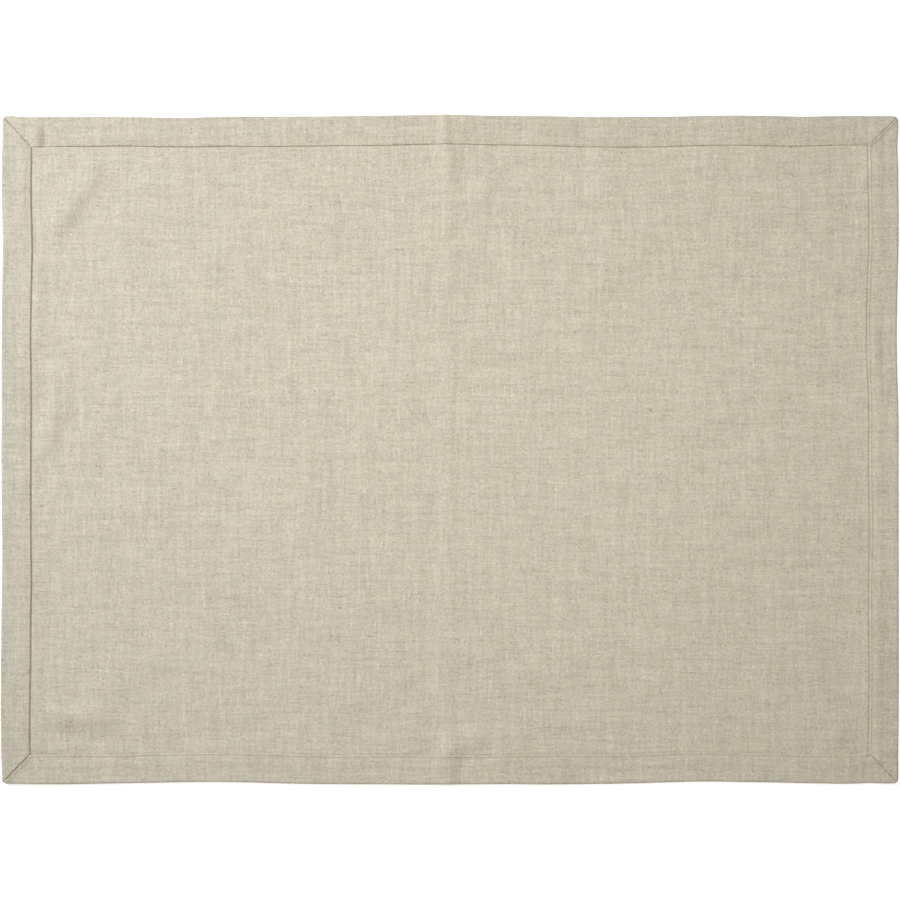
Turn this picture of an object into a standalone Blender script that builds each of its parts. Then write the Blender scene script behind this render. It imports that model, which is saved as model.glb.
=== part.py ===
"""A hemmed linen place mat, lying flat with its hems up.

It is one piece of cloth. Each of its four sides is turned over onto the upper face as a hem, and the hems
meet in a mitre at the corners. The sheet keeps the crease of having been packed folded once, soft puckers by
its corners and slightly wavy sides. X runs along the long sides, Y along the short ones, and the underside
rests on Z = 0.
"""

import math
from collections import namedtuple

import bmesh
import bpy
from mathutils import Vector

MM = 0.001

# Driving dimensions
LENGTH = 483.2 * MM
BREADTH = 359.6 * MM
SHEET_THICKNESS = 1.0 * MM
HEM_THICKNESS = 2.0 * MM
HEM_BREADTH = 15.8 * MM

# The hem's section and corners
HEM_CROWN = 0.12 * MM
CROWN_EDGE = 3.5 * MM
INNER_FOLD_RADIUS = 0.5 * MM
INNER_FOLD_SLOPE = 0.1 * MM
ROUND_STEPS = 4
CORNER_RADIUS = 2.9 * MM
MITRE_SHOULDER = 1.2 * MM
MITRE_DEPTH = 0.5 * MM

# How far in from the hem the sides' waves die out
WAVE_FADE = 60 * MM

# The cells along half of a side, from the mitre to the middle. A run with no length takes what is left.
Run = namedtuple("Run", "length cells")
LONG_SIDE_RUNS = (
    Run(length=44 * MM, cells=10),
    Run(length=None, cells=11),
    Run(length=9 * MM, cells=4),
)
SHORT_SIDE_RUNS = (
    Run(length=44 * MM, cells=10),
    Run(length=None, cells=11),
)

# Each place where a side bulges out, or draws in where "out" is below 0, in mm from the side's middle
Wave = namedtuple("Wave", "at half_length out")
TOP_WAVES = (
    Wave(-226, 13, -0.50),
    Wave(-200, 40, -0.28),
    Wave(-150, 32, -0.80),
    Wave(-134, 20, -0.18),
    Wave(-100, 55, -0.22),
    Wave(-2, 75, 0.75),
    Wave(-38, 36, -0.12),
    Wave(27, 30, -0.30),
    Wave(88, 48, -0.45),
    Wave(118, 14, -0.12),
    Wave(154, 30, 0.36),
    Wave(192, 18, -0.26),
    Wave(212, 26, 0.10),
)
BOTTOM_WAVES = (
    Wave(-212, 45, 0.42),
    Wave(-182, 30, -0.12),
    Wave(-130, 55, -0.85),
    Wave(-40, 75, 0.42),
    Wave(-15, 25, 0.20),
    Wave(32, 20, -0.20),
    Wave(40, 75, 0.58),
    Wave(140, 52, -1.05),
    Wave(180, 26, -0.32),
    Wave(212, 14, 0.18),
    Wave(226.5, 8, -0.30),
)
LEFT_WAVES = (
    Wave(170, 24, -0.68),
    Wave(110, 60, -0.45),
    Wave(110, 26, -0.26),
    Wave(-55, 40, -0.35),
    Wave(-140, 60, 0.35),
    Wave(-172, 18, -0.36),
)
RIGHT_WAVES = (
    Wave(163, 12, -0.45),
    Wave(122, 30, 0.27),
    Wave(60, 52, -0.75),
    Wave(18, 40, 0.22),
    Wave(-40, 70, 0.25),
    Wave(-120, 80, 0.30),
    Wave(-159, 11, -0.24),
)

# Each soft ridge in the sheet, along a line from (x1, y1) to (x2, y2), in mm from the mat's middle
Ridge = namedtuple("Ridge", "x1 y1 x2 y2 half_width height")
RIDGES = (
    Ridge(-213, 122, -190, 151, 13, 1.50),  # pucker across the upper left corner
    Ridge(-214, 121, -208, 129, 13, 0.60),  # highest at its lower end
    Ridge(-223.5, 165, -223.5, 170, 7, 0.80),  # swelling of the upper hem beside its left mitre
    Ridge(-223, 98, -221.5, 57, 9, 0.80),  # the left hem's swollen foot
    Ridge(-209, 44, -213, 22, 10, 1.00),  # wrinkle beside the left hem
    Ridge(-212.5, 19, -217, 3, 9.5, 1.40),  # its sharper lower end
    Ridge(-212, -143.5, -188, -144, 11, 1.70),  # pucker across the lower left corner
    Ridge(-192, -134, -180, -129, 12, 0.70),  # its broad upper end
    Ridge(-1, 180, -1, -180, 7, 0.42),  # crease of the packed mat
    Ridge(-2.8, 182, -2.8, 164, 6, 0.60),  # the crease stands higher in the upper hem
    Ridge(1, 158, 1, 151, 7.5, 0.70),  # and under it
    Ridge(31, 156, 15, 137, 8, 0.80),  # pucker beside the crease, under the upper hem
    Ridge(0, -160, 13, -156, 9, 1.30),  # pucker beside the crease, against the lower hem
    Ridge(-4, -171, -1, -174, 11, 0.80),  # and where it crosses the hem
    Ridge(203, -158.5, 211.5, -152, 7, 0.70),  # pucker across the lower right corner
    Ridge(232, -163.5, 244, -156, 7, 0.80),  # the same pucker where it crosses the right hem
    Ridge(229.5, 60, 229.5, 46, 6, 0.40),  # bump on the right hem
    Ridge(163, 158, 163, 127, 8, 0.35),  # soft ridge under the upper hem
)

# Each dent in a hem, where its layers are pressed closer together
DENTS = (
    Ridge(-218, 163, -218, 173, 6, 0.80),  # across the upper hem, beside its left mitre
    Ridge(8, -167, 6, -173, 7, 0.50),  # across the lower hem, beside the crease
)


def clear_scene():
    for thing in list(bpy.data.objects):
        bpy.data.objects.remove(thing, do_unlink=True)


def bump(distance, half_width):
    """1 at the middle of a soft ridge, falling smoothly to 0 at its half width."""
    if abs(distance) >= half_width:
        return 0.0
    return math.cos(math.pi / 2 * distance / half_width) ** 2


def fade(share):
    """A smooth step from 0 to 1 as the share goes from 0 to 1."""
    share = min(max(share, 0.0), 1.0)
    return share * share * (3 - 2 * share)


def ridge_height(ridge, x, y):
    start = Vector((ridge.x1, ridge.y1)) * MM
    along = Vector((ridge.x2, ridge.y2)) * MM - start
    here = Vector((x, y)) - start
    share = min(max(here.dot(along) / along.length_squared, 0.0), 1.0)
    return ridge.height * MM * bump((here - along * share).length, ridge.half_width * MM)


def bulge(waves, at):
    """How far a side stands out from its straight line."""
    return sum(wave.out * MM * bump(at - wave.at * MM, wave.half_length * MM) for wave in waves)


def wavy(x, y):
    """A point of the straight-sided mat, moved with the waves of the sides that it is near."""
    reach = HEM_BREADTH + WAVE_FADE
    across = fade((abs(x) - LENGTH / 2 + reach) / WAVE_FADE)
    up = fade((abs(y) - BREADTH / 2 + reach) / WAVE_FADE)
    if x > 0:
        new_x = x + across * bulge(RIGHT_WAVES, y)
    else:
        new_x = x - across * bulge(LEFT_WAVES, y)
    if y > 0:
        new_y = y + up * bulge(TOP_WAVES, x)
    else:
        new_y = y - up * bulge(BOTTOM_WAVES, x)
    return new_x, new_y


def rounded(x, y):
    """A point of the sharp-cornered mat, with the square at each corner drawn in to a quarter circle."""
    dx = abs(x) - LENGTH / 2 + CORNER_RADIUS
    dy = abs(y) - BREADTH / 2 + CORNER_RADIUS
    if dx <= 0 or dy <= 0:
        return x, y
    pull = 1 - max(dx, dy) / math.hypot(dx, dy)
    return x - math.copysign(dx * pull, x), y - math.copysign(dy * pull, y)


def shares_along(side, runs):
    """The stations between a side's two mitre shoulders, as shares of the way from one to the other."""
    half = side / 2 - HEM_BREADTH - MITRE_SHOULDER
    stated = sum(run.length for run in runs if run.length is not None)
    shares = [0.0]
    for run in runs:
        length = half - stated if run.length is None else run.length
        step = length / run.cells / (2 * half)
        shares += [shares[-1] + step * (cell + 1) for cell in range(run.cells)]
    return shares + [1 - share for share in reversed(shares[:-1])]


def stations(side, inset, shares):
    """Places along a side at this inset: its mitres, their shoulders, and the shares between these."""
    reach = side / 2 - inset
    shoulder = reach - MITRE_SHOULDER
    between = [-shoulder + 2 * shoulder * share for share in shares]
    return [-reach] + between + [reach]


def loop_round(inset, long_shares, short_shares):
    """The points at one inset, in order round the mat from its lower left corner."""
    xs = stations(LENGTH, inset, long_shares)
    ys = stations(BREADTH, inset, short_shares)
    loop = [(x, ys[0]) for x in xs[:-1]]
    loop += [(xs[-1], y) for y in ys[:-1]]
    loop += [(x, ys[-1]) for x in reversed(xs[1:])]
    loop += [(xs[0], y) for y in reversed(ys[1:])]
    return loop


def loop_place(column, row, columns, rows):
    """Where a point on the rim of the field's grid comes in loop_round, or None for one inside it."""
    if row == 0:
        return column
    if column == columns:
        return columns + row
    if row == rows:
        return 2 * columns + rows - column
    if column == 0:
        return 2 * (columns + rows) - row
    return None


def hem_section():
    """The hem's outline as (inset, height), from the underside round the outer fold to the inner fold."""
    radius = HEM_THICKNESS / 2
    section = []
    for step in range(ROUND_STEPS + 1):
        angle = math.pi * (step / ROUND_STEPS - 0.5)
        section.append((radius * (1 - math.cos(angle)), radius * (1 + math.sin(angle))))
    for inset in (CROWN_EDGE, HEM_BREADTH - CROWN_EDGE):
        section.append((inset, HEM_THICKNESS + HEM_CROWN))
    for step in range(ROUND_STEPS // 2 + 1):
        angle = math.pi / ROUND_STEPS * step
        inset = HEM_BREADTH - INNER_FOLD_SLOPE - INNER_FOLD_RADIUS * (1 - math.sin(angle))
        section.append((inset, HEM_THICKNESS - INNER_FOLD_RADIUS * (1 - math.cos(angle))))
    section.append((HEM_BREADTH, SHEET_THICKNESS))
    return section


def add_point(mesh, x, y, height):
    """A point of the flat mat, put where the waves, the ridges and the dents take it."""
    lift = sum(ridge_height(ridge, x, y) for ridge in RIDGES)
    if height > SHEET_THICKNESS:
        lift -= sum(ridge_height(dent, x, y) for dent in DENTS)
    on_mitre = abs((LENGTH / 2 - abs(x)) - (BREADTH / 2 - abs(y))) < MITRE_SHOULDER / 2
    if on_mitre and height > HEM_THICKNESS / 2:
        lift -= MITRE_DEPTH * (height - HEM_THICKNESS / 2) / (HEM_THICKNESS / 2)
    plan_x, plan_y = wavy(*rounded(x, y))
    return mesh.verts.new((plan_x, plan_y, height + lift))


def add_field(mesh, rim, height, long_shares, short_shares, faces_up):
    """The grid of one face of the sheet inside the hem, sewn to the rim that the hem has made."""
    xs = stations(LENGTH, HEM_BREADTH, long_shares)
    ys = stations(BREADTH, HEM_BREADTH, short_shares)
    columns, rows = len(xs) - 1, len(ys) - 1
    grid = {}
    for column, x in enumerate(xs):
        for row, y in enumerate(ys):
            place = loop_place(column, row, columns, rows)
            grid[column, row] = add_point(mesh, x, y, height) if place is None else rim[place]
    for column in range(columns):
        for row in range(rows):
            cell = [(column, row), (column + 1, row), (column + 1, row + 1), (column, row + 1)]
            corners = [grid[place] for place in cell]
            mesh.faces.new(corners if faces_up else corners[::-1])


def add_band(mesh, lower, upper):
    """The ring of faces between one loop of the hem's outline and the next."""
    count = len(lower)
    for i in range(count):
        j = (i + 1) % count
        mesh.faces.new((lower[i], lower[j], upper[j], upper[i]))


def cloth_mesh():
    long_shares = shares_along(LENGTH, LONG_SIDE_RUNS)
    short_shares = shares_along(BREADTH, SHORT_SIDE_RUNS)
    section = [(HEM_BREADTH, 0.0)] + hem_section()
    mesh = bmesh.new()
    loops = []
    for inset, height in section:
        loop = loop_round(inset, long_shares, short_shares)
        loops.append([add_point(mesh, x, y, height) for x, y in loop])
    for lower, upper in zip(loops, loops[1:]):
        add_band(mesh, lower, upper)
    add_field(mesh, loops[0], 0.0, long_shares, short_shares, faces_up=False)
    add_field(mesh, loops[-1], SHEET_THICKNESS, long_shares, short_shares, faces_up=True)
    finished = bpy.data.meshes.new("cloth")
    mesh.to_mesh(finished)
    mesh.free()
    return finished


def natural_linen():
    """Undyed linen: a warm light beige, with no shine."""
    material = bpy.data.materials.new("natural_linen")
    material.use_nodes = True
    surface = material.node_tree.nodes["Principled BSDF"]
    surface.inputs["Base Color"].default_value = (0.610, 0.558, 0.445, 1.0)
    surface.inputs["Roughness"].default_value = 0.9
    surface.inputs["Metallic"].default_value = 0.0
    return material


def add_cloth():
    mesh = cloth_mesh()
    mesh.materials.append(natural_linen())
    mesh.shade_smooth()
    mesh.set_sharp_from_angle(angle=math.radians(40))
    bpy.context.scene.collection.objects.link(bpy.data.objects.new("cloth", mesh))


clear_scene()
add_cloth()
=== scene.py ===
import math
from collections import namedtuple

import bpy
import numpy as np
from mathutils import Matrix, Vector, noise


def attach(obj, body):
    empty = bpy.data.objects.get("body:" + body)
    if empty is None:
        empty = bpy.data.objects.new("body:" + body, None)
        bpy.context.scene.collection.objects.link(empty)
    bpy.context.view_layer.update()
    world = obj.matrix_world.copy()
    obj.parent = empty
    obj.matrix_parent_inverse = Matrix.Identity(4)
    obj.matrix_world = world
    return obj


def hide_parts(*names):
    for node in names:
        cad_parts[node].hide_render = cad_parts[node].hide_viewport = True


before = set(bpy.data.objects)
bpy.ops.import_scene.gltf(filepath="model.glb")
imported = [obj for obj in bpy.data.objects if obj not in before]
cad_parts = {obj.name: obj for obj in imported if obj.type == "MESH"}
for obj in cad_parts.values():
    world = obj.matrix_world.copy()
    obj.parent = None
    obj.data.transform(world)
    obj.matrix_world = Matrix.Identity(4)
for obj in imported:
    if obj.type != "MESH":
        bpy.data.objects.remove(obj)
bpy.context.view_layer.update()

# The cloth is one rectangle of plain-woven, undyed linen. Each side is folded over onto the upper face and
# its raw edge is turned under, which makes a double hem, and at the corners the hems are mitred. It was
# pressed, packed folded once, and laid out flat again, so it keeps a crease, soft puckers and wavy sides.
MM = 0.001
LENGTH = 483.1 * MM
BREADTH = 359.45 * MM
CORNER_RADIUS = 2.9 * MM
CLOTH_THICKNESS = 0.6 * MM
AIR_BETWEEN_LAYERS = 0.05 * MM

# The hem's section. The puffs say how many layers the upper layer's middle stands above the lowest one's: at
# the outer fold, and beside the raw edge, where only two layers lie pressed together
HEM_BREADTH = 15.65 * MM
TURNED_UNDER = 7.1 * MM
RAW_EDGE_RISE = 1.5 * MM
OUTER_FOLD_PUFF = 2.5
OUTER_FOLD_DEPTH = 0.55 * MM
PRESSED_PUFF = 1.85
INNER_FOLD_DEPTH = 0.24 * MM

# The stitch row, and the groove into which its tight thread pulls the layers: the share of their height that
# they lose there, and the widths of the groove's two flanks
STITCH_INSET = 14.1 * MM
LONG_STITCHES = 264
SHORT_STITCHES = 192
PINCH_INSET = 14.25 * MM
STITCH_PINCH = 0.34
PINCH_OUTER_WIDTH = 4.2 * MM
PINCH_INNER_WIDTH = 0.85 * MM

# The mesh's rows across a hem: the steps round a quarter of a fold, and the insets in mm of the rows on the
# underside, on the upper layer and on the layer that is turned under
FOLD_STEPS = 3
UNDERSIDE_ROWS = (12, 8, 4, 1.6)
UPPER_ROWS = (1.6, 3.2, 5.4, 7.6, 8.3, 8.8, 9.3, 9.9, 11, 12, 12.8, 13.4, 13.9, 14.25, 14.55, 14.8, 15.1)
TURNED_UNDER_ROWS = (13, 10.6)

# The mesh's cells along a hem: how far the first stations stand from a mitre, how many cells lie between the
# last two, where along the length they are narrower, for the sharp folds, and how finely they are counted out
MITRE_STEPS = (0.2 * MM, 0.45 * MM, 0.85 * MM, 1.3 * MM, 2.0 * MM)
LONG_CELLS = 166
SHORT_CELLS = 118
FineStrip = namedtuple("FineStrip", "at half_width extra")
FINE_STRIPS = (FineStrip(-220, 8, 2.0), FineStrip(2, 16, 1.5))
COUNTED_PLACES = 2001

# How far the inner fold of each hem lies from its place at the even breadth, along +X or +Y, in mm
FOLD_SHIFT = {"left": -0.03, "right": 0.10, "top": -0.36, "bottom": 0.00}

# How far the sheet is pressed down along the foot of each inner fold, in mm, and half the width of that dip
FOOT_DIP = {"left": 0.15, "right": 0.48, "top": 0.15, "bottom": 0.22}
FOOT_DIP_HALF_WIDTH = 1.0 * MM

# How far in from its hem a side's waves still reach
WAVE_FADE = 60 * MM

# Each place where a side bulges out, or draws in where "out" is below 0, in mm from the side's middle
Wave = namedtuple("Wave", "at half_length out")
TOP_WAVES = (
    Wave(-226, 13, -0.50),
    Wave(-200, 40, -0.28),
    Wave(-150, 32, -0.80),
    Wave(-134, 20, -0.18),
    Wave(-100, 55, -0.22),
    Wave(-2, 75, 0.75),
    Wave(-38, 36, -0.12),
    Wave(27, 30, -0.30),
    Wave(88, 48, -0.45),
    Wave(118, 14, -0.12),
    Wave(154, 30, 0.36),
    Wave(192, 18, -0.26),
    Wave(212, 26, 0.10),
)
BOTTOM_WAVES = (
    Wave(-212, 45, 0.42),
    Wave(-230, 12, -0.14),
    Wave(-182, 30, -0.12),
    Wave(-130, 55, -0.85),
    Wave(-40, 75, 0.42),
    Wave(-15, 25, 0.20),
    Wave(32, 20, -0.20),
    Wave(40, 75, 0.58),
    Wave(140, 52, -1.05),
    Wave(180, 26, -0.32),
    Wave(212, 14, 0.18),
    Wave(226, 8, -0.30),
)
LEFT_WAVES = (
    Wave(170, 24, -0.68),
    Wave(110, 60, -0.45),
    Wave(110, 26, -0.26),
    Wave(-55, 40, -0.35),
    Wave(-140, 60, 0.35),
    Wave(-172, 18, -0.36),
    Wave(0, 300, -0.17),  # the whole side draws in
)
RIGHT_WAVES = (
    Wave(163, 12, -0.45),
    Wave(122, 30, 0.27),
    Wave(60, 52, -0.75),
    Wave(18, 40, 0.22),
    Wave(-40, 70, 0.25),
    Wave(-120, 80, 0.30),
    Wave(-159, 11, -0.24),
)

# Each soft ridge in the sheet, or trough where the height is below 0, from (x1, y1) to (x2, y2), in mm from
# the mat's middle
Ridge = namedtuple("Ridge", "x1 y1 x2 y2 half_width height")
RIDGES = (
    Ridge(-213, 122, -190, 151, 14, 1.00),  # pucker across the upper left corner
    Ridge(-214, 121, -208, 129, 13, 0.90),  # highest at its lower end
    Ridge(-211, 122, -191, 150, 7, 1.10),  # and sharp along its foot
    Ridge(-223.5, 165, -223.5, 170, 6, 1.00),  # swelling of the upper hem beside its left mitre
    Ridge(-241, 165, -241, -165, 9, 0.40),  # curl of the left hem's outer fold
    Ridge(-223, 98, -221.5, 57, 9, 0.85),  # the left hem's swollen foot
    Ridge(-209, 44, -213, 22, 10, 1.00),  # wrinkle beside the left hem
    Ridge(-212.5, 19, -217, 3, 9.5, 1.55),  # its sharper lower end
    Ridge(-202, 81, -208, 56, 5, 0.25),  # thin ridge above it
    Ridge(-230, 165, -230, 100, 4.5, 0.18),  # the raw edge shows through the left hem
    Ridge(-230, 20, -230, 12, 4.5, 0.30),  # bumps along the left hem's raw edge
    Ridge(-230, -12, -230, -20, 4.5, 0.40),
    Ridge(-240, -3, -240, -6, 5, 0.30),  # and on its outer fold
    Ridge(-240, -38, -240, -42, 5, 0.30),
    Ridge(-212, -143.5, -188, -144, 11, 1.80),  # pucker across the lower left corner
    Ridge(-192, -134, -180, -129, 12, 0.70),  # its broad upper end
    Ridge(-224, -160, -201, -160, 5, 0.35),  # swelling against the lower hem
    Ridge(-1, 180, -1, -180, 7, 0.42),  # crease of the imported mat
    Ridge(-2.8, 182, -2.8, 164, 4.5, 0.95),  # the crease stands sharp in the upper hem
    Ridge(6, 180, 6, 162, 11, 0.50),
    Ridge(1, 158, 1, 151, 7.5, 0.75),  # and higher under it
    Ridge(31, 156, 15, 137, 8, 0.85),  # pucker beside the crease, under the upper hem
    Ridge(0, -160, 13, -156, 9, 1.50),  # pucker beside the crease, against the lower hem
    Ridge(-4, -171, -1, -174, 11, 0.95),  # and where it crosses the hem
    Ridge(203, -158.5, 211.5, -152, 6, 0.70),  # pucker across the lower right corner
    Ridge(209, -163.6, 223, -163.8, 1.8, -0.50),  # the thin trough at its foot
    Ridge(232, -163.5, 244, -156, 7, 0.80),  # the same pucker where it crosses the right hem
    Ridge(229.5, 60, 229.5, 46, 5, 0.40),  # bump on the right hem
    Ridge(84, 156, 84, 92, 8, 0.25),  # soft upright ridges under the upper hem
    Ridge(120, 160, 120, 127, 8, 0.25),
    Ridge(163, 158, 163, 127, 8, 0.35),
    Ridge(205, 128, 203, 122, 9, 0.35),  # faint swellings right of the middle
    Ridge(219, 102, 217, 96, 8, 0.35),
    Ridge(177, 73, 179, 56, 5, 0.20),
    Ridge(113, 13, 96, -33, 9, -0.25),  # faint trough right of the middle
)

# Each dent in a hem, where its layers are pressed closer together: "height" is then the share that is lost
DENTS = (
    Ridge(-218.5, 162, -218.2, 171.5, 4, 0.72),  # sharp fold across the upper hem, beside its left mitre
    Ridge(-213.5, 163, -213.5, 171, 9, 0.32),
    Ridge(-225, 164, -224, 160, 4, 0.35),  # at the upper left inner corner
    Ridge(224, 164, 224, 161, 4, 0.30),  # at the upper right inner corner
    Ridge(71, 176, 71, 168, 6, 0.25),  # across the upper hem, right of the middle
    Ridge(7.5, -167, 5.5, -173, 5.5, 0.50),  # across the lower hem, beside the crease
    Ridge(12.5, -167, 11, -173, 9, 0.30),
)

# Each mitre, in the quarter that its signs give: the share of the layers' height by which its seam sinks, the
# seam's softness in mm, and the share by which the lip beside it rises. "side" is 1 where the lip lies on the
# short side's hem, and -1 where it lies on the long side's
Mitre = namedtuple("Mitre", "x_sign y_sign sink softness side lip")
MITRES = (
    Mitre(-1, 1, 0.78, 0.21, 1, 0.24),
    Mitre(1, 1, 0.72, 0.20, 1, 0.46),
    Mitre(-1, -1, 1.30, 0.34, -1, 0.42),
    Mitre(1, -1, 0.85, 0.20, 1, 0.34),
)
LIP_OFFSET = 0.75 * MM
LIP_SOFTNESS = 0.32 * MM

# How far in from the outer folds the seams and lips of the mitres reach their full depth, and the share of it
# that is left at their inner ends
MITRE_START = 2.2 * MM
MITRE_END = 0.3

# The sheet's own unevenness, which never lets it lie quite flat, the wander of its yarns and folds from their
# straight lines, and how far it stands off the surface between its highs and lows
Unevenness = namedtuple("Unevenness", "wavelength size seed")
UNEVENNESS = (
    Unevenness(60, 0.16, 3.7),
    Unevenness(22, 0.08, 11.3),
    Unevenness(9, 0.04, 29.1),
)
WANDER_X = Unevenness(42, 0.5, 51.9)
WANDER_Y = Unevenness(42, 0.5, 77.3)
RESTING_LIFT = 0.36 * MM

# How much higher the thick hems hold the sheet beside them than further in, in mm, and how wide that slope is
HEM_LIFT = {"left": 0.70, "right": 0.30, "top": 0.35, "bottom": 0.0}
HEM_LIFT_WIDTH = 9 * MM


def bump(distance, half_width):
    """1 at the middle of a soft ridge, falling smoothly to 0 at its half width."""
    share = np.clip(np.abs(distance) / half_width, 0, 1)
    return np.cos(math.pi / 2 * share) ** 2


def fade(share):
    """A smooth step from 0 to 1 as the share goes from 0 to 1."""
    share = np.clip(share, 0, 1)
    return share * share * (3 - 2 * share)


def ridge_shape(ridge, x, y):
    """The ridge's share of its full height at each place."""
    x1, y1 = ridge.x1 * MM, ridge.y1 * MM
    along_x, along_y = ridge.x2 * MM - x1, ridge.y2 * MM - y1
    share = ((x - x1) * along_x + (y - y1) * along_y) / (along_x ** 2 + along_y ** 2)
    share = np.clip(share, 0, 1)
    distance = np.hypot(x - x1 - share * along_x, y - y1 - share * along_y)
    return bump(distance, ridge.half_width * MM)


def bulge(waves, at):
    """How far a side stands out from its straight line."""
    return sum(wave.out * MM * bump(at - wave.at * MM, wave.half_length * MM) for wave in waves)


def chance(unevenness, x, y):
    """A smooth chance value at each place, of the given size and wavelength."""
    step = unevenness.wavelength * MM
    places = zip(x / step, y / step)
    values = [noise.noise(Vector((a, b, unevenness.seed))) for a, b in places]
    return unevenness.size * MM * np.array(values)


def moved_by_folds(x, y):
    """Places on the straight-sided mat, moved with its uneven hems, wandering yarns and wavy sides."""
    inset_x, inset_y = LENGTH / 2 - np.abs(x), BREADTH / 2 - np.abs(y)
    free = fade(np.minimum(inset_x, inset_y) / HEM_BREADTH)
    rightness, upness = x / LENGTH + 0.5, y / BREADTH + 0.5
    shift_x = FOLD_SHIFT["left"] + (FOLD_SHIFT["right"] - FOLD_SHIFT["left"]) * rightness
    shift_y = FOLD_SHIFT["bottom"] + (FOLD_SHIFT["top"] - FOLD_SHIFT["bottom"]) * upness
    new_x = x + free * (shift_x * MM + chance(WANDER_X, x, y))
    new_y = y + free * (shift_y * MM + chance(WANDER_Y, x, y))
    across = fade((WAVE_FADE + HEM_BREADTH - inset_x) / WAVE_FADE)
    up = fade((WAVE_FADE + HEM_BREADTH - inset_y) / WAVE_FADE)
    new_x += across * np.where(x > 0, bulge(RIGHT_WAVES, y), -bulge(LEFT_WAVES, y))
    new_y += up * np.where(y > 0, bulge(TOP_WAVES, x), -bulge(BOTTOM_WAVES, x))
    return new_x, new_y


def rounded(x, y):
    """Places on the sharp-cornered mat, with the square at each corner drawn in to a quarter circle."""
    dx = np.abs(x) - LENGTH / 2 + CORNER_RADIUS
    dy = np.abs(y) - BREADTH / 2 + CORNER_RADIUS
    in_corner = (dx > 0) & (dy > 0)
    reach = np.where(in_corner, np.hypot(dx, dy), 1)
    pull = np.where(in_corner, 1 - np.maximum(dx, dy) / reach, 0)
    return x - np.sign(x) * dx * pull, y - np.sign(y) * dy * pull


def insets(x, y):
    """How far each place lies inside each of the four sides."""
    in_x, in_y = LENGTH / 2, BREADTH / 2
    return {"left": in_x + x, "right": in_x - x, "bottom": in_y + y, "top": in_y - y}


def looseness(x, y):
    """The share of their full height that a hem's layers keep: less where sewn, pressed or sunk."""
    inset_x, inset_y = LENGTH / 2 - np.abs(x), BREADTH / 2 - np.abs(y)
    inset = np.minimum(inset_x, inset_y)
    off_pinch = inset - PINCH_INSET
    outside = np.clip(1 + off_pinch / PINCH_OUTER_WIDTH, 0, 1) ** 2
    inside = np.clip(1 - off_pinch / PINCH_INNER_WIDTH, 0, 1)
    kept = 1 - STITCH_PINCH * np.minimum(outside, inside)
    for dent in DENTS:
        kept = kept * (1 - dent.height * ridge_shape(dent, x, y))
    off_seam = (inset_y - inset_x) / math.sqrt(2)
    closed_end = 1 - (1 - MITRE_END) * fade((inset - STITCH_INSET) / (HEM_BREADTH - STITCH_INSET))
    marked = closed_end * fade(inset / MITRE_START)
    for mitre in MITRES:
        in_quarter = (np.sign(x) == mitre.x_sign) & (np.sign(y) == mitre.y_sign)
        seam = mitre.sink * np.exp(-(off_seam / (mitre.softness * MM)) ** 2)
        lip = mitre.lip * np.exp(-((off_seam - mitre.side * LIP_OFFSET) / LIP_SOFTNESS) ** 2)
        kept = kept + np.where(in_quarter, marked * (lip - seam), 0)
    return np.maximum(kept, 0)


def lie(x, y, height):
    """The places that points of the flat mat take as it lies, in the row frame."""
    lift = RESTING_LIFT + sum(chance(part, x, y) for part in UNEVENNESS)
    lift = lift + sum(ridge.height * MM * ridge_shape(ridge, x, y) for ridge in RIDGES)
    for side, to_side in insets(x, y).items():
        lift = lift + HEM_LIFT[side] * MM * (1 - fade((to_side - HEM_BREADTH) / HEM_LIFT_WIDTH))
        lift = lift - FOOT_DIP[side] * MM * bump(to_side - HEM_BREADTH, FOOT_DIP_HALF_WIDTH)
    above = np.maximum(height - CLOTH_THICKNESS, 0)
    plan_x, plan_y = moved_by_folds(*rounded(x, y))
    z = height - above + above * looseness(x, y) + np.maximum(lift, 0)
    return np.stack([plan_x, plan_y, z], axis=1)


PathPoint = namedtuple("PathPoint", "inset height thickness beyond")


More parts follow.
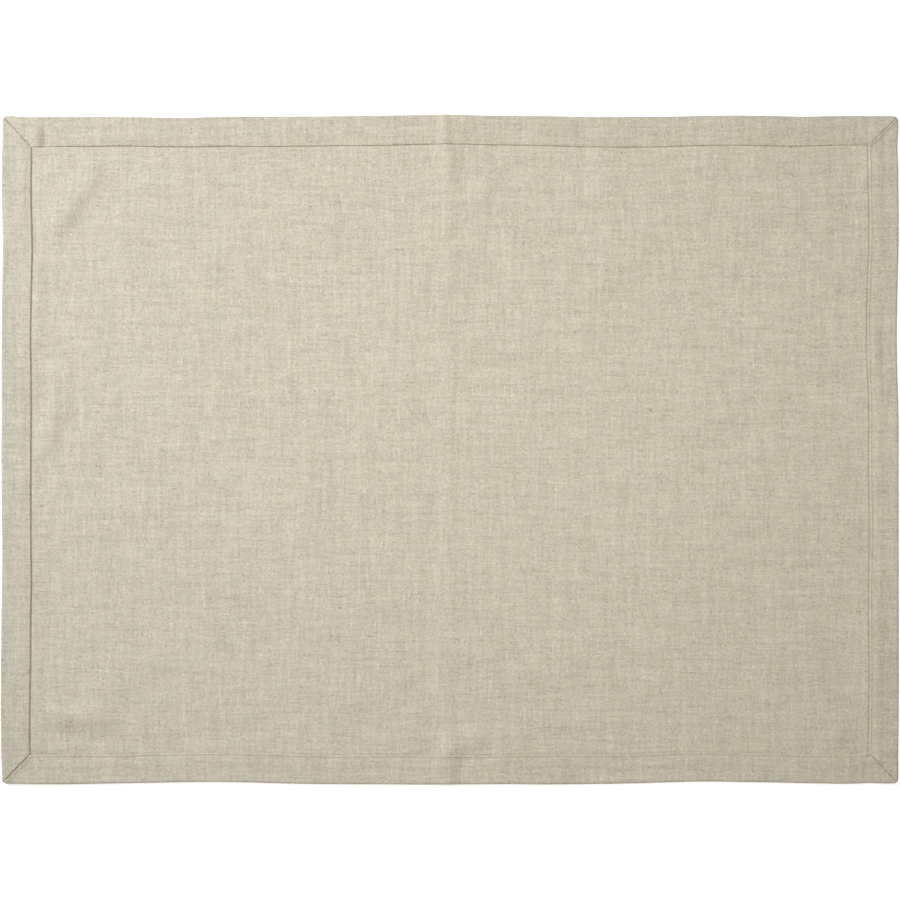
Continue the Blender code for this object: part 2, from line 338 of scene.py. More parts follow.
def folded_path():
    """The middle of the cloth's thickness across a hem: out under it, round both folds, to the raw edge.

    The upper layer lies loosely puffed at the outer fold, falls where only two layers lie pressed together,
    and rises over the raw edge, where the turned-under layer begins. "beyond" is how far the point lies
    outside the outline while the cloth is flat.
    """
    layer = CLOTH_THICKNESS + AIR_BETWEEN_LAYERS
    low = CLOTH_THICKNESS / 2
    outer_rise = layer * OUTER_FOLD_PUFF / 2
    inner_rise = layer / 2
    raw_edge = HEM_BREADTH - TURNED_UNDER
    fold_steps = [math.pi / 2 * step / FOLD_STEPS for step in range(-FOLD_STEPS, FOLD_STEPS + 1)]

    def upper(inset):
        pressed = min(inset / (raw_edge - RAW_EDGE_RISE / 2), 1)
        risen = float(fade((inset - raw_edge + RAW_EDGE_RISE / 2) / RAW_EDGE_RISE))
        puff = OUTER_FOLD_PUFF + (PRESSED_PUFF - OUTER_FOLD_PUFF) * pressed
        return low + layer * (puff + (2 - puff) * risen)

    underside = [HEM_BREADTH] + [inset * MM for inset in UNDERSIDE_ROWS]
    route = [(inset, low, CLOTH_THICKNESS) for inset in underside]
    for angle in fold_steps:
        inset = OUTER_FOLD_DEPTH * (1 - math.cos(angle)) + CLOTH_THICKNESS / 2
        route.append((inset, low + outer_rise * (1 + math.sin(angle)), CLOTH_THICKNESS))
    for inset in UPPER_ROWS:
        route.append((inset * MM, upper(inset * MM), CLOTH_THICKNESS))
    for angle in fold_steps:
        inset = HEM_BREADTH - CLOTH_THICKNESS / 2 - INNER_FOLD_DEPTH * (1 - math.cos(angle))
        route.append((inset, low + 2 * layer - inner_rise * (1 + math.sin(angle)), CLOTH_THICKNESS))
    for inset in [inset * MM for inset in TURNED_UNDER_ROWS] + [raw_edge]:
        room = upper(inset) - CLOTH_THICKNESS * 1.5
        thickness = room - 2 * AIR_BETWEEN_LAYERS
        route.append((inset, CLOTH_THICKNESS + room / 2, thickness))
    path = []
    beyond = -HEM_BREADTH
    last = route[0][:2]
    for inset, height, thickness in route:
        beyond += math.dist(last, (inset, height))
        last = (inset, height)
        path.append(PathPoint(inset, height, thickness, beyond))
    return path


def faces_of_cloth(path):
    """The rows of a hem's mesh: along the cloth's outer face to the raw edge, and back along its inner."""
    outer, inner = [], []
    for number, point in enumerate(path):
        before = path[max(number - 1, 0)]
        after = path[min(number + 1, len(path) - 1)]
        run, rise = after.inset - before.inset, after.height - before.height
        half = point.thickness / 2 / math.hypot(run, rise)
        outer.append(point._replace(inset=point.inset - half * rise, height=point.height + half * run))
        inner.append(point._replace(inset=point.inset + half * rise, height=point.height - half * run))
    return outer + inner[::-1]


def stations(side, inset, cells, fine_strips=()):
    """Places along a side at this inset: close together by its mitres and in the fine strips."""
    reach = side / 2 - inset
    near = [reach] + [reach - step for step in MITRE_STEPS]
    places = np.linspace(-near[-1], near[-1], COUNTED_PLACES)
    crowding = np.ones(len(places))
    for strip in fine_strips:
        crowding += strip.extra * bump(places - strip.at * MM, strip.half_width * MM)
    counted = np.cumsum(crowding)
    between = np.interp(np.linspace(counted[0], counted[-1], cells + 1), counted, places)[1:-1]
    return np.concatenate([np.negative(near), between, near[::-1]])


def loop_round(inset):
    """The flat mat's places at one inset, anticlockwise from the lower left corner."""
    xs = stations(LENGTH, inset, LONG_CELLS, FINE_STRIPS)
    ys = stations(BREADTH, inset, SHORT_CELLS)
    x = np.concatenate([xs[:-1], np.full(len(ys) - 1, xs[-1]), xs[:0:-1], np.full(len(ys) - 1, xs[0])])
    y = np.concatenate([np.full(len(xs) - 1, ys[0]), ys[:-1], np.full(len(xs) - 1, ys[-1]), ys[:0:-1]])
    return x, y


def linen_cloth_mesh():
    """The whole cloth as one closed sheet, with a map of the flat cloth and a map of the stitch row."""
    rows = faces_of_cloth(folded_path())
    columns = len(MITRE_STEPS) * 2 + LONG_CELLS
    lines = len(MITRE_STEPS) * 2 + SHORT_CELLS
    round_count = 2 * (columns + lines)
    side_starts = np.cumsum([0, columns, lines, columns])
    side_of_face = np.searchsorted(side_starts, np.arange(round_count), side="right") - 1
    points, quads, flat_map, seam_map, in_hem = [], [], [], [], []

    # The hems, a ring of faces between each row and the next
    ring = np.arange(round_count)
    following = (ring + 1) % round_count
    upright = side_of_face % 2 == 1
    outward = np.where((side_of_face == 0) | (side_of_face == 3), -1, 1)
    long_pitch = (LENGTH - 2 * STITCH_INSET) / LONG_STITCHES
    short_pitch = (BREADTH - 2 * STITCH_INSET) / SHORT_STITCHES
    row_corners = []
    for row in rows:
        x, y = loop_round(row.inset)
        points.append(lie(x, y, np.full(round_count, row.height)))
        flat_corners, seam_corners = [], []
        for place in (ring, following):
            cut_x = np.where(upright, outward * (LENGTH / 2 + row.beyond), x[place])
            cut_y = np.where(upright, y[place], outward * (BREADTH / 2 + row.beyond))
            stitch = np.where(
                upright,
                (y[place] + BREADTH / 2 - STITCH_INSET) / short_pitch,
                (x[place] + LENGTH / 2 - STITCH_INSET) / long_pitch,
            )
            flat_corners.append(np.stack([cut_x, cut_y], axis=1))
            seam_corners.append(np.stack([stitch, np.full(round_count, row.inset - STITCH_INSET)], axis=1))
        row_corners.append((flat_corners, seam_corners))
    for number in range(len(rows) - 1):
        low, high = number * round_count, (number + 1) * round_count
        quads.append(np.stack([low + ring, low + following, high + following, high + ring], axis=1))
        for corners, kept in zip(range(2), (flat_map, seam_map)):
            lower, upper = row_corners[number][corners], row_corners[number + 1][corners]
            kept.append(np.stack([lower[0], lower[1], upper[1], upper[0]], axis=1))
    above_lowest_layer = CLOTH_THICKNESS * 1.2
    for number, row in enumerate(rows):
        on_top = number < len(rows) // 2 and row.height > above_lowest_layer
        in_hem.append(np.full(round_count, float(on_top)))

    # The field inside the hems: its underside is sewn to the first row, and its upper face to the last one
    xs = stations(LENGTH, HEM_BREADTH, LONG_CELLS, FINE_STRIPS)
    ys = stations(BREADTH, HEM_BREADTH, SHORT_CELLS)
    grid_x, grid_y = np.meshgrid(xs, ys, indexing="ij")
    rim = np.full(grid_x.shape, -1)
    rim[:-1, 0] = ring[:columns]
    rim[-1, :-1] = ring[columns:columns + lines]
    rim[:0:-1, -1] = ring[columns + lines:2 * columns + lines]
    rim[0, :0:-1] = ring[2 * columns + lines:]
    inside = rim < 0
    count = len(rows) * round_count
    for height, first, faces_up in ((0.0, 0, False), (CLOTH_THICKNESS, (len(rows) - 1) * round_count, True)):
        places = np.where(inside, 0, rim + first)
        places[inside] = count + np.arange(inside.sum())
        points.append(lie(grid_x[inside], grid_y[inside], np.full(inside.sum(), height)))
        in_hem.append(np.zeros(inside.sum()))
        count += inside.sum()
        cut = np.stack([grid_x, grid_y], axis=2)
        order = [(0, 0), (1, 0), (1, 1), (0, 1)] if faces_up else [(0, 1), (1, 1), (1, 0), (0, 0)]
        cells = [(slice(a, columns + a), slice(b, lines + b)) for a, b in order]
        quads.append(np.stack([places[cell].ravel() for cell in cells], axis=1))
        flat_map.append(np.stack([cut[cell].reshape(-1, 2) for cell in cells], axis=1))
        far_off = np.full((columns * lines, 4, 2), HEM_BREADTH)
        seam_map.append(far_off)

    mesh = bpy.data.meshes.new("linen_cloth")
    quads = np.concatenate(quads)
    mesh.from_pydata(np.concatenate(points).tolist(), [], quads.tolist())
    mesh.uv_layers.new(name="flat_cloth").uv.foreach_set("vector", np.concatenate(flat_map).ravel())
    mesh.uv_layers.new(name="stitch_row").uv.foreach_set("vector", np.concatenate(seam_map).ravel())
    mesh.attributes.new("in_hem", "FLOAT", "POINT").data.foreach_set("value", np.concatenate(in_hem))
    mesh.shade_smooth()
    return mesh


def linear(hex_colour):
    """An sRGB hex colour as linear red, green, blue and alpha."""
    shares = [int(hex_colour[place:place + 2], 16) / 255 for place in (1, 3, 5)]
    turned = [c / 12.92 if c <= 0.04045 else ((c + 0.055) / 1.055) ** 2.4 for c in shares]
    return (*turned, 1.0)


def add_node(tree, kind, inputs=(), **settings):
    """Adds a node with its settings. An input takes a value, a socket, or a node's first live output."""
    made = tree.nodes.new(kind)
    for name, value in settings.items():
        setattr(made, name, value)
    for name, value in dict(inputs).items():
        if isinstance(value, bpy.types.Node):
            value = next(socket for socket in value.outputs if socket.enabled)
        if isinstance(value, bpy.types.NodeSocket):
            tree.links.new(value, made.inputs[name])
        else:
            made.inputs[name].default_value = value
    return made


# The spacing of the yarns, which are drawn as coarse as they must be to show, the two colours between which
# they range, and the share of the way from the darker to the paler one at which their middle tone lies
WARP_PITCH = 0.62 * MM
WEFT_PITCH = 0.66 * MM
DARK_YARN = "#8F8876"
LIGHT_YARN = "#F4ECDA"
MIDDLE_TONE = 0.52


def undyed_linen():
    """Undyed linen in a plain weave, washed and pressed: matt, a warm beige, of uneven yarns.

    To the eye it gives a fine cross-hatch of lighter and darker yarns, clumps of fibre, thick places mostly
    along the weft, and brown specks of flax stalk. The flat cloth's map carries it round the folds, so it
    runs straight on the hems.
    """
    material = bpy.data.materials.new("undyed_plain_woven_linen")
    material.use_nodes = True
    tree = material.node_tree
    shader = tree.nodes["Principled BSDF"]
    flat = add_node(tree, "ShaderNodeUVMap", uv_map="flat_cloth")
    cut_place = add_node(tree, "ShaderNodeSeparateXYZ", {0: flat})

    # The number of the warp and weft yarn at each place, and how far across each yarn the place lies
    wander = add_node(tree, "ShaderNodeTexNoise", {"Vector": flat, "Scale": 1 / (5 * MM), "Detail": 1.0})
    counted = add_node(tree, "ShaderNodeVectorMath", {
        0: flat, 1: (1 / WARP_PITCH, 1 / WEFT_PITCH, 0.0), 2: wander.outputs["Color"],
    }, operation="MULTIPLY_ADD")
    yarn_numbers = add_node(tree, "ShaderNodeVectorMath", {0: counted}, operation="FLOOR")
    yarn_number = add_node(tree, "ShaderNodeSeparateXYZ", {0: yarn_numbers})
    in_yarns = add_node(tree, "ShaderNodeVectorMath", {0: counted}, operation="FRACTION")
    in_yarn = add_node(tree, "ShaderNodeSeparateXYZ", {0: in_yarns})

    # Each yarn's own shade changes along it, from clump to clump of fibre
    shade, roundness = {}, {}
    for name, across, along, seed in (("warp", "X", "Y", 3.1), ("weft", "Y", "X", 8.7)):
        on_yarn = add_node(tree, "ShaderNodeCombineXYZ", {
            0: yarn_number.outputs[across], 1: cut_place.outputs[along], 2: seed,
        })
        spread = add_node(tree, "ShaderNodeVectorMath", {0: on_yarn, 1: (7.31, 1 / (10 * MM), 1.0)},
                          operation="MULTIPLY")
        shade[name] = add_node(tree, "ShaderNodeTexNoise", {
            "Vector": spread, "Scale": 1.0, "Detail": 2.0, "Roughness": 0.7,
        }).outputs["Fac"]
        centred = add_node(tree, "ShaderNodeMath", {0: in_yarn.outputs[across], 1: 0.5}, operation="SUBTRACT")
        squared = add_node(tree, "ShaderNodeMath", {0: centred, 1: centred}, operation="MULTIPLY")
        roundness[name] = add_node(tree, "ShaderNodeMath", {0: squared, 1: -4.0, 2: 1.0},
                                   operation="MULTIPLY_ADD")

    # The weft lies on top at every second crossing
    crossing = add_node(tree, "ShaderNodeMath", {0: yarn_number.outputs["X"], 1: yarn_number.outputs["Y"]})
    alternate = add_node(tree, "ShaderNodeMath", {0: crossing, 1: 2.0}, operation="MODULO")
    weft_on_top = add_node(tree, "ShaderNodeMath", {0: alternate}, operation="ABSOLUTE")
    shade_seen = add_node(tree, "ShaderNodeMix", {
        "Factor": weft_on_top, "A": shade["warp"], "B": shade["weft"],
    })
    back_seen = add_node(tree, "ShaderNodeMix", {
        "Factor": weft_on_top, "A": roundness["warp"], "B": roundness["weft"],
    })

    # Long streaks of thick and thin yarns, upright and level, then clumps of fibre, and broader shades of the
    # flax: each has the size of its largest patches in mm, how many finer sizes it holds, their strength, and
    # how much it adds. The smallest are drawn as coarse as they must be to show
    tones = [(shade_seen, 0.37)]
    for width, height, finer, roughness, amount in (
        (1.3, 18.0, 0.0, 0.5, 0.145),
        (18.0, 1.3, 0.0, 0.5, 0.15),
        (5.2, 70.0, 1.0, 1.0, 0.11),
        (70.0, 5.2, 1.0, 1.0, 0.09),
        (1.0, 1.0, 0.0, 0.5, 0.26),
        (1.7, 1.7, 0.0, 0.5, 0.19),
        (6.0, 6.0, 1.0, 0.9, 0.11),
    ):
        stretched = add_node(tree, "ShaderNodeVectorMath", {
            0: flat, 1: (1 / (width * MM), 1 / (height * MM), 1.0), 2: (width, height, width * height),
        }, operation="MULTIPLY_ADD")
        patches = add_node(tree, "ShaderNodeTexNoise", {
            "Vector": stretched, "Scale": 1.0, "Detail": finer, "Roughness": roughness,
        })
        tones.append((patches, amount))
    tone = MIDDLE_TONE - sum(amount for patches, amount in tones) / 2
    for patches, amount in tones:
        tone = add_node(tree, "ShaderNodeMath", {0: patches, 1: amount, 2: tone}, operation="MULTIPLY_ADD")

    # Slubs, the thick places, are dark and pale lines, mostly along the weft, and the last set darkens the
    # small gaps between uneven yarns with painted shade
    slubs_and_painted_gap_shade = []
    for width, height, seed, threshold, amount in (
        (8.0, 0.8, 61.0, 0.68, -0.13),
        (7.0, 0.9, 67.0, 0.67, 0.09),
        (0.8, 6.0, 71.0, 0.68, 0.12),
        # painted shade in the small gaps between uneven yarns
        (0.9, 0.9, 83.0, 0.60, -0.115),
    ):
        stretched = add_node(tree, "ShaderNodeVectorMath", {
            0: flat, 1: (1 / (width * MM), 1 / (height * MM), 1.0), 2: (seed, seed, seed),
        }, operation="MULTIPLY_ADD")
        chances = add_node(tree, "ShaderNodeTexNoise", {"Vector": stretched, "Scale": 1.0, "Detail": 0.0})
        slub_or_painted_gap_shade = add_node(tree, "ShaderNodeMapRange", {
            "Value": chances, "From Min": threshold, "From Max": threshold + 0.12,
        })
        slubs_and_painted_gap_shade.append(slub_or_painted_gap_shade)
        tone = add_node(tree, "ShaderNodeMath", {0: slub_or_painted_gap_shade, 1: amount, 2: tone}, operation="MULTIPLY_ADD")

    # Less of the white paper shows between the yarns where the hem's layers lie over each other
    in_hem = add_node(tree, "ShaderNodeAttribute", attribute_name="in_hem").outputs["Fac"]
    layered = add_node(tree, "ShaderNodeMath", {0: in_hem, 1: -0.025, 2: tone}, operation="MULTIPLY_ADD")
    yarn_colour = add_node(tree, "ShaderNodeMix", {
        "Factor": layered, "A": linear(DARK_YARN), "B": linear(LIGHT_YARN),
    }, data_type="RGBA")

    # The flax is a little pinker in some places, and greener or yellower in others
    tint = add_node(tree, "ShaderNodeTexNoise", {
        "Vector": flat, "Scale": 1 / (10 * MM), "Detail": 4.0, "Roughness": 0.8,
    })
    tinted = add_node(tree, "ShaderNodeMix", {"Factor": 0.12, "A": yarn_colour, "B": tint.outputs["Color"]},
                      data_type="RGBA", blend_type="MULTIPLY")

    # The brown specks of flax stalk, and short brown fibres along the weft: the size of a cell in mm, the
    # share of the cells that have one, half its length in mm, and how dark it is
    colour = tinted
    for width, height, share, radius, depth in (
        (13, 11, 0.50, 0.42, 0.65),
        (6, 7, 0.60, 0.36, 0.45),
        (16, 4, 0.50, 1.30, 0.30),
    ):
        spread = add_node(tree, "ShaderNodeVectorMath", {
            0: flat, 1: (1 / (width * MM), 1 / (height * MM), 1.0), 2: (width, width, width),
        }, operation="MULTIPLY_ADD")
        cells = add_node(tree, "ShaderNodeTexVoronoi", {"Vector": spread, "Scale": 1.0, "Randomness": 1.0},
                         voronoi_dimensions="2D")
        drawn = add_node(tree, "ShaderNodeSeparateColor", {0: cells.outputs["Color"]})
        here = add_node(tree, "ShaderNodeMath", {0: drawn.outputs["Red"], 1: share}, operation="LESS_THAN")
        spot = add_node(tree, "ShaderNodeMapRange", {
            "Value": cells.outputs["Distance"], "To Max": depth,
            "From Min": 1.5 * radius / width, "From Max": 0.5 * radius / width,
        })
        paler = add_node(tree, "ShaderNodeMath", {0: drawn.outputs["Green"], 1: 1.6}, operation="POWER")
        spots = add_node(tree, "ShaderNodeMath", {0: spot, 1: here}, operation="MULTIPLY")
        speck = add_node(tree, "ShaderNodeMath", {0: spots, 1: paler}, operation="MULTIPLY")
        colour = add_node(tree, "ShaderNodeMix", {"Factor": speck, "A": colour, "B": linear("#6E5D45")},
                          data_type="RGBA")

    # The needle holes in the stitch row, one between every two stitches, each darkened with painted shade
    seam = add_node(tree, "ShaderNodeUVMap", uv_map="stitch_row")
    in_seam = add_node(tree, "ShaderNodeSeparateXYZ", {0: seam})
    from_hole = add_node(tree, "ShaderNodeMath", {0: in_seam.outputs["X"], 1: 0.5}, operation="PINGPONG")
    across_seam = add_node(tree, "ShaderNodeMath", {0: in_seam.outputs["Y"], 1: 1 / MM}, operation="MULTIPLY")
    off_hole = add_node(tree, "ShaderNodeCombineXYZ", {0: from_hole, 1: across_seam})
    off_hole = add_node(tree, "ShaderNodeVectorMath", {0: off_hole, 1: (1.72, 1.0, 0.0)},
                        operation="MULTIPLY")
    reach = add_node(tree, "ShaderNodeVectorMath", {0: off_hole}, operation="LENGTH")
    hole = add_node(tree, "ShaderNodeMapRange", {
        "Value": reach.outputs["Value"], "From Min": 0.5, "From Max": 0.15,
    })
    # The darkening of the colour at each hole is painted shade in it
    painted_hole_shade = add_node(tree, "ShaderNodeMath", {0: hole, 1: 0.08}, operation="MULTIPLY")
    colour_with_painted_hole_shade = add_node(tree, "ShaderNodeMix", {"Factor": painted_hole_shade, "A": colour, "B": linear("#6F6553")},
                     data_type="RGBA")
    tree.links.new(colour_with_painted_hole_shade.outputs["Result"], shader.inputs["Base Color"])

    # Each yarn's round back, higher where it is thick
    thick = add_node(tree, "ShaderNodeMath", {0: slubs_and_painted_gap_shade[0], 1: slubs_and_painted_gap_shade[1]}, operation="MAXIMUM")
    thicker = add_node(tree, "ShaderNodeMath", {0: thick, 1: 0.6, 2: 1.0}, operation="MULTIPLY_ADD")
    backs = add_node(tree, "ShaderNodeMath", {0: back_seen, 1: thicker}, operation="MULTIPLY")
    surface = add_node(tree, "ShaderNodeMath", {0: hole, 1: -1.0, 2: backs}, operation="MULTIPLY_ADD")
    relief = add_node(tree, "ShaderNodeBump", {"Height": surface, "Distance": 0.10 * MM, "Strength": 0.35})
    tree.links.new(relief.outputs["Normal"], shader.inputs["Normal"])
    shader.inputs["Roughness"].default_value = 0.9
    shader.inputs["Specular IOR Level"].default_value = 0.25
    shader.inputs["Sheen Weight"].default_value = 0.08
    shader.inputs["Sheen Roughness"].default_value = 0.5
    return material


cloth = bpy.data.objects.new("linen_cloth", linen_cloth_mesh())
bpy.context.scene.collection.objects.link(cloth)
cloth.data.materials.append(undyed_linen())
cut_beyond = folded_path()[-1].beyond

# The seam is a row of lockstitches through all the hem's layers, 1.55 mm from its inner fold. The thread is
# spun to match the linen. It is drawn tight, so each stitch lies partly sunk between the yarns, and goes down
# into its needle hole at both ends.
THREAD_DIAMETER = 0.30 * MM
THREAD_SINK = 0.08 * MM
ARCH_HEIGHT = 0.02 * MM
DIP_DEPTH = 0.22 * MM
SHARE_OF_PITCH = 0.96
SLANT = math.radians(4)


def stitch_row_path(inset, height):
    """The middles of the stitches along the four sides, as four chains of points."""
    points, edges = [], []
    for along_x, stitches in ((True, LONG_STITCHES), (False, SHORT_STITCHES)):
        side = LENGTH if along_x else BREADTH
        other = (BREADTH if along_x else LENGTH) / 2 - inset
        reach = side / 2 - inset
        along = np.linspace(-reach, reach, 2 * stitches + 1)[1::2]
        for sign in (-1, 1):
            across = np.full(stitches, sign * other)
            x, y = (along, across) if along_x else (across, along)
            first = len(points)
            points += lie(x, y, np.full(stitches, height)).tolist()
            edges += [(first + n, first + n + 1) for n in range(stitches - 1)]
    mesh = bpy.data.meshes.new("stitch_row_path")
    mesh.from_pydata(points, edges, [])
    return mesh


def lockstitch_tree():
    """Lays one arched stitch of thread at each point of a chain, along it."""
    tree = bpy.data.node_groups.new("lockstitches", "GeometryNodeTree")
    tree.interface.new_socket("Path", in_out="INPUT", socket_type="NodeSocketGeometry")
    for name in ("Stitch Length", "Thread Diameter", "Arch Height", "Dip Depth", "Slant"):
        tree.interface.new_socket(name, in_out="INPUT", socket_type="NodeSocketFloat")
    tree.interface.new_socket("Seed", in_out="INPUT", socket_type="NodeSocketInt")
    tree.interface.new_socket("Thread", in_out="INPUT", socket_type="NodeSocketMaterial")
    tree.interface.new_socket("Stitches", in_out="OUTPUT", socket_type="NodeSocketGeometry")
    given = add_node(tree, "NodeGroupInput").outputs
    down = add_node(tree, "ShaderNodeMath", {0: given["Dip Depth"], 1: -1.0}, operation="MULTIPLY")
    bow = add_node(tree, "ShaderNodeMath", {
        0: given["Arch Height"], 1: 4 / 3, 2: given["Dip Depth"],
    }, operation="MULTIPLY_ADD")
    ends = []
    for share, height in ((-0.5, down), (-0.425, bow), (0.425, bow), (0.5, down)):
        reach = add_node(tree, "ShaderNodeMath", {0: given["Stitch Length"], 1: share}, operation="MULTIPLY")
        ends.append(add_node(tree, "ShaderNodeCombineXYZ", {"X": reach, "Z": height}))
    spine = add_node(tree, "GeometryNodeCurvePrimitiveBezierSegment", {
        "Resolution": 6, "Start": ends[0], "Start Handle": ends[1], "End Handle": ends[2], "End": ends[3],
    })
    thread_radius = add_node(tree, "ShaderNodeMath", {0: given["Thread Diameter"], 1: 0.5},
                             operation="MULTIPLY")
    section = add_node(tree, "GeometryNodeCurvePrimitiveCircle", {"Resolution": 6, "Radius": thread_radius})
    run = add_node(tree, "GeometryNodeSplineParameter").outputs["Factor"]
    spine = add_node(tree, "GeometryNodeStoreNamedAttribute", {
        "Geometry": spine, "Name": "along_stitch", "Value": run,
    }, data_type="FLOAT", domain="POINT")
    section = add_node(tree, "GeometryNodeStoreNamedAttribute", {
        "Geometry": section, "Name": "round_thread", "Value": run,
    }, data_type="FLOAT", domain="POINT")
    stitch = add_node(tree, "GeometryNodeCurveToMesh", {"Curve": spine, "Profile Curve": section})
    chain = add_node(tree, "GeometryNodeMeshToCurve", {"Mesh": given["Path"]})
    tangent = add_node(tree, "GeometryNodeInputTangent")
    turned = add_node(tree, "FunctionNodeAlignRotationToVector", {"Vector": tangent},
                      axis="X", pivot_axis="Z")
    less = add_node(tree, "ShaderNodeMath", {0: given["Slant"], 1: -1.0}, operation="MULTIPLY")
    chance_slant = add_node(tree, "FunctionNodeRandomValue", {
        "Min": less, "Max": given["Slant"], "Seed": given["Seed"],
    }, data_type="FLOAT")
    slant = add_node(tree, "ShaderNodeCombineXYZ", {"Z": chance_slant})
    laid = add_node(tree, "FunctionNodeRotateRotation", {"Rotation": turned, "Rotate By": slant},
                    rotation_space="LOCAL")
    placed = add_node(tree, "GeometryNodeInstanceOnPoints", {
        "Points": chain, "Instance": stitch, "Rotation": laid,
    })
    solid = add_node(tree, "GeometryNodeRealizeInstances", {"Geometry": placed})
    smooth = add_node(tree, "GeometryNodeSetShadeSmooth", {"Geometry": solid})
    coloured = add_node(tree, "GeometryNodeSetMaterial", {"Geometry": smooth, "Material": given["Thread"]})
    add_node(tree, "NodeGroupOutput", {"Stitches": coloured})
    return tree


def sewing_thread():
    """Three-ply sewing thread in the cloth's own colour: smoother than linen, its twist softly gleaming. Its
    colour is painted lighter along the plies and darker between them, as painted highlight and painted shade.
    """
    material = bpy.data.materials.new("matching_sewing_thread")
    material.use_nodes = True
    tree = material.node_tree
    shader = tree.nodes["Principled BSDF"]
    along = add_node(tree, "ShaderNodeAttribute", attribute_name="along_stitch").outputs["Fac"]
    around = add_node(tree, "ShaderNodeAttribute", attribute_name="round_thread").outputs["Fac"]
    turns = add_node(tree, "ShaderNodeMath", {0: along, 1: 3.0, 2: around}, operation="MULTIPLY_ADD")
    ply = add_node(tree, "ShaderNodeMath", {0: turns, 1: 0.5}, operation="PINGPONG")
    depth = add_node(tree, "ShaderNodeMath", {0: ply, 1: 2.0}, operation="MULTIPLY")
    # Painted highlight along each ply and painted shade between the plies; the same depth also raises the
    # plies in the bump
    colour = add_node(tree, "ShaderNodeMix", {
        "Factor": depth, "A": linear("#C6BDA9"), "B": linear("#E0D8C7"),
    }, data_type="RGBA")
    tree.links.new(colour.outputs["Result"], shader.inputs["Base Color"])
    relief = add_node(tree, "ShaderNodeBump", {"Height": depth, "Distance": 0.06 * MM, "Strength": 0.7})
    tree.links.new(relief.outputs["Normal"], shader.inputs["Normal"])
    shader.inputs["Roughness"].default_value = 0.65
    shader.inputs["Sheen Weight"].default_value = 0.1
    return material


def stitches_on(name, path, flipped):
    """One row of stitches as a plain mesh, made by the lockstitch tree along its path."""
    row = bpy.data.objects.new(name, path)
    bpy.context.scene.collection.objects.link(row)
    modifier = row.modifiers.new("lockstitches", "NODES")
    modifier.node_group = lockstitches
    sign = -1 if flipped else 1
    values = {
        "Stitch Length": (LENGTH - 2 * STITCH_INSET) / LONG_STITCHES * SHARE_OF_PITCH,
        "Thread Diameter": THREAD_DIAMETER,
        "Arch Height": sign * ARCH_HEIGHT,
        "Dip Depth": sign * DIP_DEPTH,
        "Slant": SLANT,
        "Seed": 7,
        "Thread": thread,
    }
    for socket in lockstitches.interface.items_tree:
        if socket.in_out == "INPUT" and socket.name in values:
            modifier[socket.identifier] = values[socket.name]
    evaluated = row.evaluated_get(bpy.context.evaluated_depsgraph_get())
    finished = bpy.data.meshes.new_from_object(evaluated)
    row.modifiers.remove(modifier)
    row.data = finished
    return row


thread = sewing_thread()
lockstitches = lockstitch_tree()
hem_top = CLOTH_THICKNESS * 3 + AIR_BETWEEN_LAYERS * 2
needle_path = stitch_row_path(STITCH_INSET, hem_top - THREAD_SINK)
needle_row = stitches_on("needle_thread_row", needle_path, flipped=False)

# The underside's mesh has no row close to these stitches, so the cloth covers more of them than it should
bobbin_path = stitch_row_path(STITCH_INSET, THREAD_SINK)
bobbin_row = stitches_on("bobbin_thread_row", bobbin_path, flipped=True)

for piece in (cloth, needle_row, bobbin_row):
    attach(piece, "root")
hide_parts("cloth")

# The floor is a large sheet of matt white paper, and the mat lies loose on it. A glow of its own stands for
# the light that reaches it from all round.
HALF_FLOOR = 3.0
floor_mesh = bpy.data.meshes.new("white_floor")
floor_corners = [(x * HALF_FLOOR, y * HALF_FLOOR, 0) for x, y in ((-1, -1), (1, -1), (1, 1), (-1, 1))]
floor_mesh.from_pydata(floor_corners, [], [(0, 1, 2, 3)])
floor = bpy.data.objects.new("white_floor", floor_mesh)
bpy.context.scene.collection.objects.link(floor)
paper = bpy.data.materials.new("matt_white_paper")
paper.use_nodes = True
paper_shader = paper.node_tree.nodes["Principled BSDF"]
paper_shader.inputs["Base Color"].default_value = linear("#F4F4F3")
paper_shader.inputs["Roughness"].default_value = 0.9
paper_shader.inputs["Emission Color"].default_value = linear("#FFFFFF")
paper_shader.inputs["Emission Strength"].default_value = 0.45
floor_mesh.materials.append(paper)


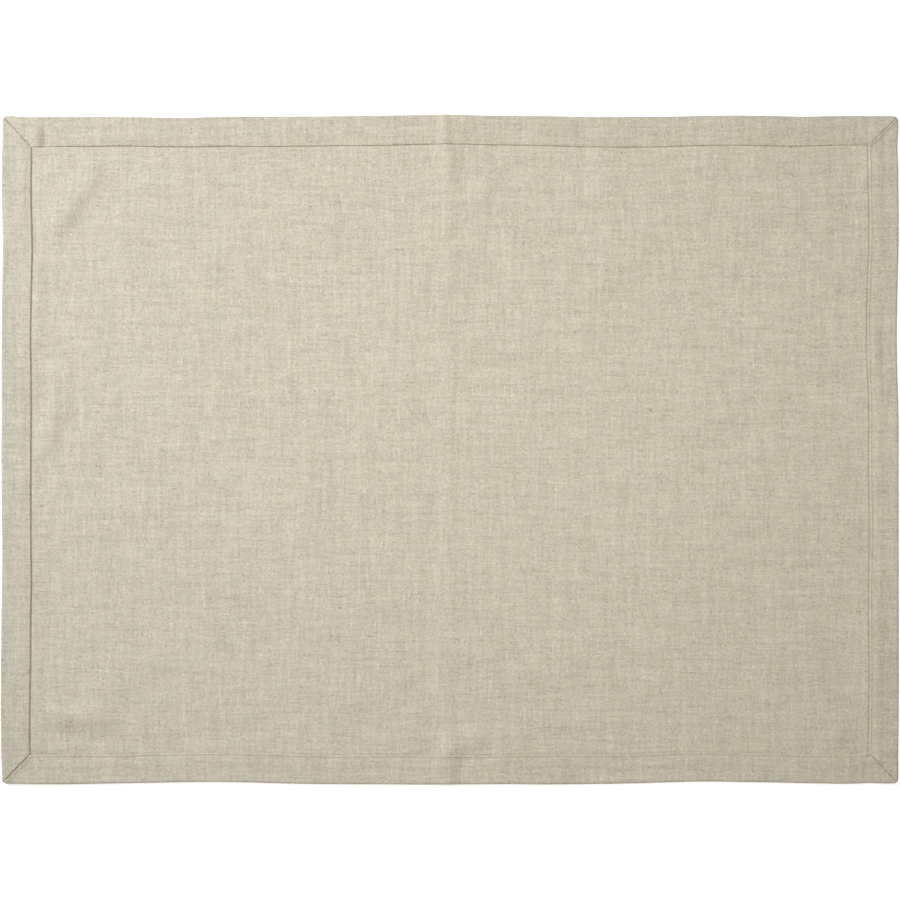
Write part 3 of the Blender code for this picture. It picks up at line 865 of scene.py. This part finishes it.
# The light comes from a small window-like softbox on the upper left, a broader softbox overhead, and a pale
# room all round.
def softbox(name, place, aim, side, watts, colour):
    """A square area lamp that the camera doesn't see, turned to its aim."""
    lamp = bpy.data.lights.new(name, "AREA")
    lamp.shape = "SQUARE"
    lamp.size = side
    lamp.energy = watts
    lamp.color = linear(colour)[:3]
    box = bpy.data.objects.new(name, lamp)
    box.location = place
    box.rotation_euler = (Vector(aim) - Vector(place)).to_track_quat("-Z", "Y").to_euler()
    box.visible_camera = False
    bpy.context.scene.collection.objects.link(box)


KEY_DISTANCE = 1.2
KEY_ELEVATION = math.radians(42)
KEY_AZIMUTH = math.radians(153)
key_place = (
    KEY_DISTANCE * math.cos(KEY_ELEVATION) * math.cos(KEY_AZIMUTH),
    KEY_DISTANCE * math.cos(KEY_ELEVATION) * math.sin(KEY_AZIMUTH),
    KEY_DISTANCE * math.sin(KEY_ELEVATION),
)
softbox("window_softbox", key_place, aim=(0, 0, 0), side=0.2, watts=10.4, colour="#E9F2FB")
OVERHEAD_X = 0.061
OVERHEAD_Y = 0.058
OVERHEAD_HEIGHT = 0.748
over_mat = (OVERHEAD_X, OVERHEAD_Y, OVERHEAD_HEIGHT)
under_it = (OVERHEAD_X, OVERHEAD_Y, 0.0)
softbox("overhead_softbox", over_mat, aim=under_it, side=0.3, watts=3.7, colour="#FFF6EC")
world = bpy.data.worlds.new("pale_room")
world.use_nodes = True
world.node_tree.nodes["Background"].inputs["Color"].default_value = linear("#FFF6EE")
world.node_tree.nodes["Background"].inputs["Strength"].default_value = 0.10
bpy.context.scene.world = world

# The camera looks straight down with a long lens, and the mat nearly fills the width of its view. A pixel of
# its square picture is this wide at the height of the mat's upper face.
PHOTO_PIXEL = 0.5388 * MM
PICTURE_PIXELS = 900
FACE_HEIGHT = 1.5 * MM
lens = bpy.data.cameras.new("overhead_camera")
lens.lens = 100
lens.sensor_width = 36
camera = bpy.data.objects.new("overhead_camera", lens)
camera_height = FACE_HEIGHT + PICTURE_PIXELS * PHOTO_PIXEL * lens.lens / lens.sensor_width
camera.location = (0.25 * PHOTO_PIXEL, -0.25 * PHOTO_PIXEL, camera_height)
bpy.context.scene.collection.objects.link(camera)
bpy.context.scene.camera = camera
bpy.context.scene.view_settings.view_transform = "Standard"
